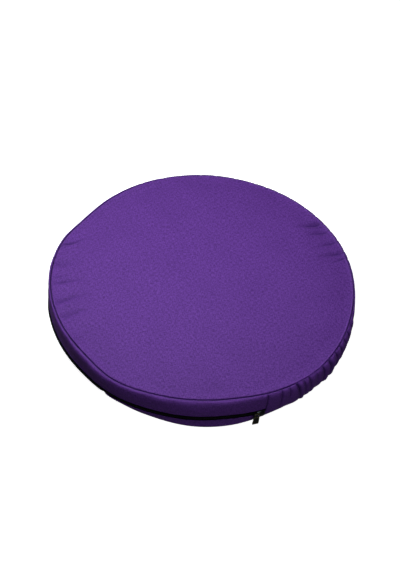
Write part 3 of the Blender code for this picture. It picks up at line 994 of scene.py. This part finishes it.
def build_lower_strip():
    line, levels, angles, grid = strip_grid((LEVEL_ZIP_FOOT, 9, 8), (9.3, 11, 7), (11.25, LEVEL_FOOT, 4))
    radius, height = lower_face(angles, grid)
    radius = radius - END_SEAM_DEPTH * end_sink(angles)
    hem_r, hem_z = (values[:, ::-1] for values in hem(radius[:, ::-1], height[:, ::-1], -1))
    radius, height = with_foot_lip(radius, height)
    radius = joined(hem_r, radius)
    height = joined(hem_z, height)
    angles = np.repeat(line[:, None], radius.shape[1], axis=1)
    # Painted shade at the upright seams at the zip's ends
    fold = end_sink(angles)
    return sheet_object("zip_strip_lower_cloth", angles, radius, height, lower_cloth, STRIP_THICK, fold=fold)


def pleats():
    """The tucks that show, and then like ones round to the zip's far end."""
    tucks = [Pleat(ZIP_END + END_GAP, ZIP_END + END_GAP, 0.0, 1.0), *PLEATS]
    chance = random.Random(PLEAT_SEED)
    end = ZIP_START + 360.0 - END_GAP
    angle = PLEATS[-1].top
    while True:
        angle += chance.uniform(*PLEAT_SPACING)
        if angle > end - PLEAT_SPACING[0]:
            break
        slant = chance.uniform(-PLEAT_SLANT, PLEAT_SLANT)
        reach = chance.choice((0.6, 1.0, 1.0))
        tucks.append(Pleat(angle, angle + slant, chance.uniform(*PLEAT_DEPTH), reach))
    tucks.append(Pleat(end, end, 0.0, 1.0))
    return tucks


def tuck_columns(tucks, down):
    """The band's columns from tuck to tuck. At each level: the angle, the puff outwards and the notch."""
    rows = []
    for left, right in zip(tucks, tucks[1:]):
        count = max(11, round((right.top - left.top) / TUCK_COLUMN))
        width = along_side(right.top - left.top)
        start, end = (fold.top + (fold.foot - fold.top) * down for fold in (left, right))
        depths = [fold.depth * (1 - smooth_step((down - fold.reach) / 0.3) * 0.8) for fold in (left, right)]
        for k in range(count):
            share = (1 - math.cos(math.pi * k / count)) / 2
            depth = depths[0] * (1 - share) + depths[1] * share
            puff = depth * np.sin(math.pi * share**0.78) ** (0.6 + 0.4 * down)
            near = [
                hump(edge * width / (0.5 + 0.45 * fold.depth))
                for edge, fold in ((share, left), (1 - share, right))
            ]
            notch = depths[0] * near[0] + depths[1] * near[1]
            rows.append((start + (end - start) * share, puff, notch))
    rows.append((np.full_like(down, tucks[-1].top), 0 * down, 0 * down))
    return (np.array(part) for part in zip(*rows))


def build_band():
    lip = len(BAND_LIP)
    levels = level_runs(
        (0, 0, lip), (0, 2, 9), (2.2, 4, 8), (4.3, 9, 10), (9.35, 11, 5), (11.3, LEVEL_FOOT, 3)
    )
    heights = monotone(np.arange(len(SECTION)), np.array(SECTION)[:, 0], levels)
    down = 1 - heights / SEAM_HEIGHT
    tucks = pleats()
    angles, puff, notch = tuck_columns(tucks, down)
    grid = np.broadcast_to(levels, angles.shape)
    radius, height = section(angles, grid)
    ends = np.minimum(angles - tucks[0].top, tucks[-1].top - angles)
    radius += (section(angles, grid, GATHERED_SECTION)[0] - radius) * smooth_step(ends / 5.0)
    out, up = with_normals(radius, height)
    quiet = smooth_step((angles - QUIET_FROM) / 8.0)
    top_share = (0.55 + 4 * down) * (1 - quiet) + (0.1 + 2.2 * down) * quiet
    edge = np.minimum(1.0, np.minimum(top_share, 0.2 + 3 * (1 - down)))
    small = 0.35 * ripple(angles, height * 0.35, 6.0, 8) * (0.25 + 0.75 * hump(down / 0.3)) * edge
    flat_part = 1 - smooth_step((angles - tucks[1].top + 1.0) / 4.0) * (angles > tucks[0].top)
    move = puff * edge + small * (1 - 0.7 * flat_part) - 0.5 * notch * hump(down / 0.4)
    move = move - END_SEAM_DEPTH * end_sink(angles)
    radius = radius + move * out
    height = height + move * up
    closed = hump(grid / 0.9) * smooth_step((angles + 57.0) / 6.0) * (1 - quiet)
    radius = radius - 0.5 * closed
    height = height - hump(grid / 0.7) * 0.40 * stitch_pull(angles) + 0.8 * closed
    set_lip(angles, radius, height)
    radius, height = with_foot_lip(radius, height)
    height = np.maximum(height, FOOT_CLEAR)
    angles = joined(angles, np.repeat(angles[:, -1:], len(FOOT_LIP), axis=1))
    count = len(levels)
    # Painted highlight on the puffs' tops near the seam, where they catch the light from above
    wear_and_highlight = np.zeros_like(radius)
    wear_and_highlight[:, :count] = np.clip(move / 1.8, 0, 1) * hump((levels - 1.4) / 2.5)
    # Painted shade in the tucks' notches, the top seam and the upright end seams; the foot lip gets full
    # painted shade
    fold = np.ones_like(radius)
    dark = np.clip(notch / 2.4, 0, 1) * (0.35 + 0.65 * hump(down / 0.45))
    fold[:, :count] = np.maximum(dark, seam_shade(levels, lip) * (0.3 + 0.7 * flat_part))
    fold = np.maximum(fold, end_sink(angles))
    return sheet_object("gathered_band_cloth", angles, radius, height, band_cloth, BAND_THICK, wear_and_highlight, fold)


upper_strip = build_upper_strip()
lower_strip = build_lower_strip()
gathered_band = build_band()


# The zip


def zip_face(angles, up):
    """Radius and height of the tape's face at a distance up from the zip's middle."""
    top, foot = (section(angles, np.full_like(angles, level))[0] for level in (LEVEL_ZIP_TOP, LEVEL_ZIP_FOOT))
    share = np.minimum(up / (ZIP_TOP - ZIP_FOOT) + 0.5, 1.0)
    proud = tuck(angles)
    foot = foot - LOWER_TUCK * proud
    bell = window(up, -4.3, -2.1, 0.3, 3.9)
    radius = foot + (top - foot) * share - TAPE_SINK + TAPE_PROUD * proud * bell
    return radius, ZIP_MIDDLE + up + zip_rise(angles)


def build_tape():
    angle_line = angles_between(ZIP_START + END_GAP, ZIP_END - END_GAP, 0.5)
    ups = np.linspace(TAPE_HALF, -TAPE_HALF, 31)
    angles, grid = np.meshgrid(angle_line, ups, indexing="ij")
    radius, height = zip_face(angles, grid)
    return sheet_object("zip_tape", angles, radius, height, tape_material(), TAPE_THICK)


def outward(angles):
    turn = np.radians(angles)
    return np.stack([np.cos(turn), np.sin(turn), np.zeros_like(turn)], -1)


def build_coil():
    """Two interlocked rows of teeth: short bent bars, each from its own side and hooked past the middle."""
    count = int(along_side(ZIP_END - ZIP_START) / TOOTH_PITCH)
    pitch = (ZIP_END - ZIP_START - 1.6) / count
    ups = np.array([1.0, 0.92, 0.55, 0.1, -0.22, -0.30]) * COIL_HALF
    rises = np.array([-0.15, 0.62, 0.98, 1.0, 0.78, 0.35]) * COIL_RISE
    paths, facings = [], []
    for side, shift in ((1, 0.0), (-1, 0.5)):
        angles = ZIP_START + 0.8 + (np.arange(count) + shift) * pitch
        grid, up = np.meshgrid(angles, ups * side, indexing="ij")
        radius, height = zip_face(grid, up)
        paths.append(at(grid, radius + rises * (1 - 0.7 * tuck(grid)), height))
        facings.append(outward(grid))
    made = tubes("zip_coil", np.concatenate(paths), np.concatenate(facings), TOOTH_RADIUS, 6)
    made.data.materials.append(coil_material())
    return made


tape = build_tape()
coil = build_coil()


# Stitches


def stitch_row(name, ends, place, size, lift=0.12):
    """A row of stitches. place(angles) gives points in millimetres, and the way out of the cloth there."""
    length, gap, radius = size
    step = math.degrees((length + gap) / ARC_RADIUS)
    middles = np.arange(ends[0] + step, ends[1] - step / 2, step)
    spots = np.linspace(-1, 1, 5)
    points, facing = place(middles[:, None] + spots * math.degrees(length / ARC_RADIUS) / 2)
    arch = lift * (1 - spots**2) - radius * 0.9 * spots**4
    points = points + facing * arch[:, None]
    made = tubes(name, points, facing, radius * (1 - 0.45 * spots**4), 6)
    made.data.materials.append(thread_purple)
    return made


def on_face(face, level):
    """Where a strip's stitches lie: at a level on its face."""

    def place(angles):
        radius, height = face(angles, np.full_like(angles, level))
        return at(angles, radius + STITCH_SEAT, height), outward(angles)

    return place


def in_top_seam(angles):
    up = np.broadcast_to([0.0, 0.0, 1.0], (*angles.shape, 3))
    return at(angles, outline(angles)[0] + STITCH_SEAT, SEAM_STITCH_HEIGHT), up


SEAM_STITCH = (2.3, 1.1, 0.22)
TOPSTITCH = (2.6, 0.8, 0.17)
ZIP_ENDS = (ZIP_START, ZIP_END)
on_upper, on_lower = on_face(upper_face, UPPER_STITCH_LEVEL), on_face(lower_face, LOWER_STITCH_LEVEL)
seam_thread = stitch_row("seam_stitches", (-180.0, 180.0), in_top_seam, SEAM_STITCH, 0.2)
upper_thread = stitch_row("topstitch_upper", ZIP_ENDS, on_upper, TOPSTITCH)
lower_thread = stitch_row("topstitch_lower", ZIP_ENDS, on_lower, TOPSTITCH)


# The slider and its pull


def framed(x, y, z, spot):
    return Matrix([*zip(x, y, z, spot), (0.0, 0.0, 0.0, 1.0)])


def side_frame(angle, out, height):
    """The frame on the band at an angle: X runs along the zip, Y up and Z outwards."""
    radius = float(outline(np.array(angle))[2]) + out
    spot = at(angle, radius, height) * MM
    return framed(outward(angle + 90.0), (0.0, 0.0, 1.0), outward(angle), spot)


def rounded_outline(corners, radius):
    """The corner points joined by straight sides, with each corner rounded."""
    points = []
    count = len(corners)
    for k in range(count):
        before, corner, after = (np.array(corners[(k + j) % count], float) for j in (-1, 0, 1))
        reach_in, reach_out = np.linalg.norm(before - corner), np.linalg.norm(after - corner)
        cut = min(radius, reach_in * MOST_ROUND, reach_out * MOST_ROUND)
        start = corner + (before - corner) / reach_in * cut
        end = corner + (after - corner) / reach_out * cut
        for t in np.linspace(0, 1, CORNER_POINTS):
            points.append((1 - t) ** 2 * start + 2 * t * (1 - t) * corner + t**2 * end)
    return np.array(points)


def shrunk(points, step):
    """A closed outline moved inwards by a step."""
    after = np.roll(points, -1, axis=0)
    along = unit(after - np.roll(points, 1, axis=0))
    area = np.sum(points[:, 0] * after[:, 1] - points[:, 1] * after[:, 0])
    inward = np.stack([-along[:, 1], along[:, 0]], -1) * math.copysign(1.0, area)
    return points + inward * step


def slab(name, corners, radius, layers):
    """A closed solid from an outline. Each layer is a step inwards and a height, from the back forwards."""
    edge = rounded_outline(corners, radius)
    rings = [np.column_stack([shrunk(edge, step), np.full(len(edge), z)]) for step, z in layers]
    points = np.concatenate([*rings, [rings[0].mean(0)], [rings[-1].mean(0)]])
    return built(name, points, closed_faces(len(rings), len(edge), fans=True))


def strap(name, path, wide, thick, sides=14):
    """A rounded bar along a path in X and Z, wider across Y than it is thick."""
    along = unit(np.gradient(path, axis=0))
    over = np.stack([-along[:, 1], along[:, 0]], -1)
    turn = np.arange(sides) * 2 * math.pi / sides
    across = np.abs(np.cos(turn)) ** 0.6 * np.sign(np.cos(turn))
    deep = np.abs(np.sin(turn)) ** 0.8 * np.sign(np.sin(turn))
    x, z = (path[:, [k]] + over[:, [k]] * deep * thick / 2 for k in (0, 1))
    y = np.broadcast_to(across * wide / 2, x.shape)
    points = np.stack([x, y, z], -1)
    return built(name, points, closed_faces(len(path), sides))


def turn_outwards(item):
    shape = bmesh.new()
    shape.from_mesh(item.data)
    bmesh.ops.recalc_face_normals(shape, faces=shape.faces)
    shape.to_mesh(item.data)
    shape.free()


def boolean(item, other, operation):
    turn_outwards(item)
    turn_outwards(other)
    cut = item.modifiers.new(operation, "BOOLEAN")
    cut.operation = operation
    cut.solver = "EXACT"
    cut.object = other
    apply_modifiers(item)
    discard(other)


def softened(item, width):
    edge = item.modifiers.new("edges", "BEVEL")
    edge.width = width * MM
    edge.segments = 2
    edge.limit_method = "ANGLE"
    edge.angle_limit = math.radians(40)
    apply_modifiers(item)
    item.data.shade_smooth()
    normals = item.modifiers.new("normals", "WEIGHTED_NORMAL")
    normals.keep_sharp = True
    return apply_modifiers(item)


SLIDER_LAYERS = (
    (0.9, 0.0), (0.25, 0.05), (0.0, 0.3), (0.05, 0.55), (0.55, 0.75), (0.55, 1.05),
    (0.05, 1.25), (0.0, 1.6), (0.2, 2.0), (0.7, 2.25), (1.5, 2.35),
)


def built_slider():
    """The slider: two plates with a slot for the coil between, and an arched strap for the pull's eye."""
    half, wide = SLIDER_LENGTH / 2, SLIDER_WIDTH / 2
    lower = ((-half, -wide * SLIDER_TAIL), (half * 0.2, -wide), (half, -wide * 0.92))
    corners = (*lower, *((x, -y) for x, y in reversed(lower)))
    body = slab("zip_slider_metal", corners, 1.6, SLIDER_LAYERS)
    left, right = BRIDGE_LEFT + BRIDGE_FOOT / 2, BRIDGE_RIGHT - BRIDGE_FOOT / 2
    top = BRIDGE_TOP - 0.65
    rise = [(0.0, 1.9), (0.0, 3.4), (0.15, 4.6), (0.9, top - 0.12), (2.2, top)]
    fall = [(-2.6, top - 0.1), (-1.1, top - 0.55), (-0.25, 4.3), (0.0, 3.2), (0.0, 1.9)]
    knots = np.array([(left + x, z) for x, z in rise] + [(right + x, z) for x, z in fall])
    spots = np.linspace(0, len(knots) - 1, 34)
    path = np.column_stack([monotone(np.arange(len(knots)), knots[:, k], spots) for k in (0, 1)])
    boolean(body, strap("slider_strap", path, 2.3, 1.15), "UNION")
    body.data.shade_smooth()
    return body


def built_pull():
    """The pull tab: a bevelled plate with an eye at its top and a sunk panel on both faces."""
    half = PULL_THICK / 2
    faces = ((0.28, -half), (0.0, -half + 0.25), (0.0, half - 0.25), (0.28, half))
    plate = slab("zip_pull_metal", PULL_OUTLINE, 1.3, faces)
    boolean(plate, slab("eye", PULL_EYE, 0.5, ((0.0, -2.0), (0.0, 2.0))), "DIFFERENCE")
    for side in (-1, 1):
        panel = slab("panel", PULL_PANEL, 0.9, ((0.0, side * (half - 0.3)), (0.0, side * 2.0)))
        boolean(plate, panel, "DIFFERENCE")
    return softened(plate, 0.12)


def finish_metal(item, low, high, enamel):
    """Rubs the edges, which lie furthest from the middle plane, paler, on the pull also as painted highlight,
    and gives the metal its enamel.
    """
    away = np.abs([point.co.z / MM for point in item.data.vertices])
    keep_on_points(item, "wear_and_highlight", smooth_step((away - low) / (high - low)))
    item.data.materials.clear()
    item.data.materials.append(enamel)


SLIDER_DARK, SLIDER_WORN = (0.050, 0.062, 0.072), (0.62, 0.64, 0.68)
# The pull's paler colour is rubbing and painted highlight; the slider's is rubbed bare metal
PULL_DARK, PULL_WORN_AND_HIGHLIGHT = (0.016, 0.016, 0.012), (0.30, 0.27, 0.14)
slider = built_slider()
finish_metal(slider, 3.0, 6.0, enamel_material("slider_gunmetal", SLIDER_DARK, SLIDER_WORN, 500.0, 0.20, 1.0))
pull = built_pull()
finish_metal(pull, 0.35, 0.6, enamel_material("pull_gunmetal", PULL_DARK, PULL_WORN_AND_HIGHLIGHT, 420.0, 0.34, 0.35))
slider_frame = side_frame(SLIDER_ANGLE, SLIDER_SEAT, ZIP_MIDDLE)
slider.matrix_world = slider_frame
eye = Vector(((BRIDGE_LEFT + BRIDGE_FOOT / 2 + PULL_SHIFT) * MM, 0.0, PULL_LIFT * MM))
lean = Matrix.Rotation(math.radians(-PULL_LEAN), 4, "Z") @ Matrix.Rotation(math.radians(-PULL_TILT), 4, "X")
pull.matrix_world = slider_frame @ Matrix.Translation(eye) @ lean


for item, node, slot in (
    (upper_strip, "zip_strip_upper", "upper_strip_cloth"),
    (lower_strip, "zip_strip_lower", "lower_strip_cloth"),
    (gathered_band, "gathered_band", "band_cloth"),
    (coil, "zip_chain", "zip_black"),
    (slider, "zip_slider", "slider_black"),
    (pull, "zip_pull", "pull_black"),
):
    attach(item, "root")
    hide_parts(node)
for item, slot in (
    (tape, "zip_black"),
    (seam_thread, "cushion_cloth"),
    (upper_thread, "upper_strip_cloth"),
    (lower_thread, "lower_strip_cloth"),
):
    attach(item, "root")


# The stage, the light and the camera


WHITE = (0.9, 0.9, 0.9)
FLOOR_REACH = 5000.0
FLOOR_DROP = 0.3
DOME_SIDES = 64
DOME_RINGS = 20


def stage_piece(name, points, faces, glow):
    """A white piece of the setting that glows, and that gives the cushion no light, reflection or shadow."""
    n = Nodes(name + "_white")
    soft = n.spread(n.noise(n.place(), 3.0, 1.0), 0.3, 0.7, 0.0, 0.01)
    n.set(Base_Color=n.blend(soft, WHITE, WHITE), Roughness=0.9, Specular_IOR_Level=0.0)
    n.set(Emission_Color=(1.0, 1.0, 1.0, 1.0), Emission_Strength=glow)
    made = built(name, points, faces)
    made.data.materials.append(n.made)
    for ray in ("diffuse", "glossy", "shadow"):
        setattr(made, "visible_" + ray, False)


turns = np.arange(DOME_SIDES) * 360.0 / DOME_SIDES
stage_piece("floor", at(turns, FLOOR_REACH, -FLOOR_DROP), [range(DOME_SIDES)], 0.96)
lifts = np.radians(np.linspace(-2, 90, DOME_RINGS))[:, None]
dome = at(turns, FLOOR_REACH * np.cos(lifts) + 1, FLOOR_REACH * np.sin(lifts))
stage_piece("backdrop", dome, grid_faces(DOME_RINGS, DOME_SIDES, False, True), 1.0)

world = bpy.data.worlds.new("studio")
bpy.context.scene.world = world
world.use_nodes = True
sky = world.node_tree.nodes["Background"].inputs
sky["Color"].default_value = (1.0, 0.99, 1.0, 1.0)
sky["Strength"].default_value = 0.05
LIGHT_AIM = Vector((0.0, 0.0, 0.03))


def area_light(name, place, size, power):
    data = bpy.data.lights.new(name, "AREA")
    data.shape = "DISK"
    data.size = size
    data.energy = power
    made = new_object(name, data)
    made.location = place
    made.rotation_euler = (LIGHT_AIM - Vector(place)).to_track_quat("-Z", "Y").to_euler()


area_light("key", (-0.95, 0.75, 1.10), 0.6, 6.0)
area_light("overhead", (-0.10, 0.03, 0.55), 0.60, 2.68)
area_light("front_fill", (0.7, -1.7, 0.7), 0.7, 4.4)
area_light("glint", (0.15, -0.9, 1.3), 0.12, 0.7)

CAMERA_TILT = 0.83243876
CAMERA_ROLL = 0.07560302
CAMERA_DISTANCE = 1.8
CAMERA_AIM = Vector((-0.005625, 0.013864, 0.025))
CAMERA_LENS = 85.39
camera_data = bpy.data.cameras.new("camera")
camera_data.sensor_fit = "VERTICAL"
camera_data.sensor_height = 36.0
camera_data.lens = CAMERA_LENS
camera = new_object("camera", camera_data)
back = Vector((0.0, -math.cos(CAMERA_TILT), math.sin(CAMERA_TILT)))
right = Vector((1.0, 0.0, 0.0))
above = right.cross(-back)
c, s = math.cos(CAMERA_ROLL), math.sin(CAMERA_ROLL)
spot = CAMERA_AIM + back * CAMERA_DISTANCE
camera.matrix_world = framed(c * right + s * above, c * above - s * right, back, spot)
bpy.context.scene.camera = camera
bpy.context.scene.view_settings.view_transform = "Standard"
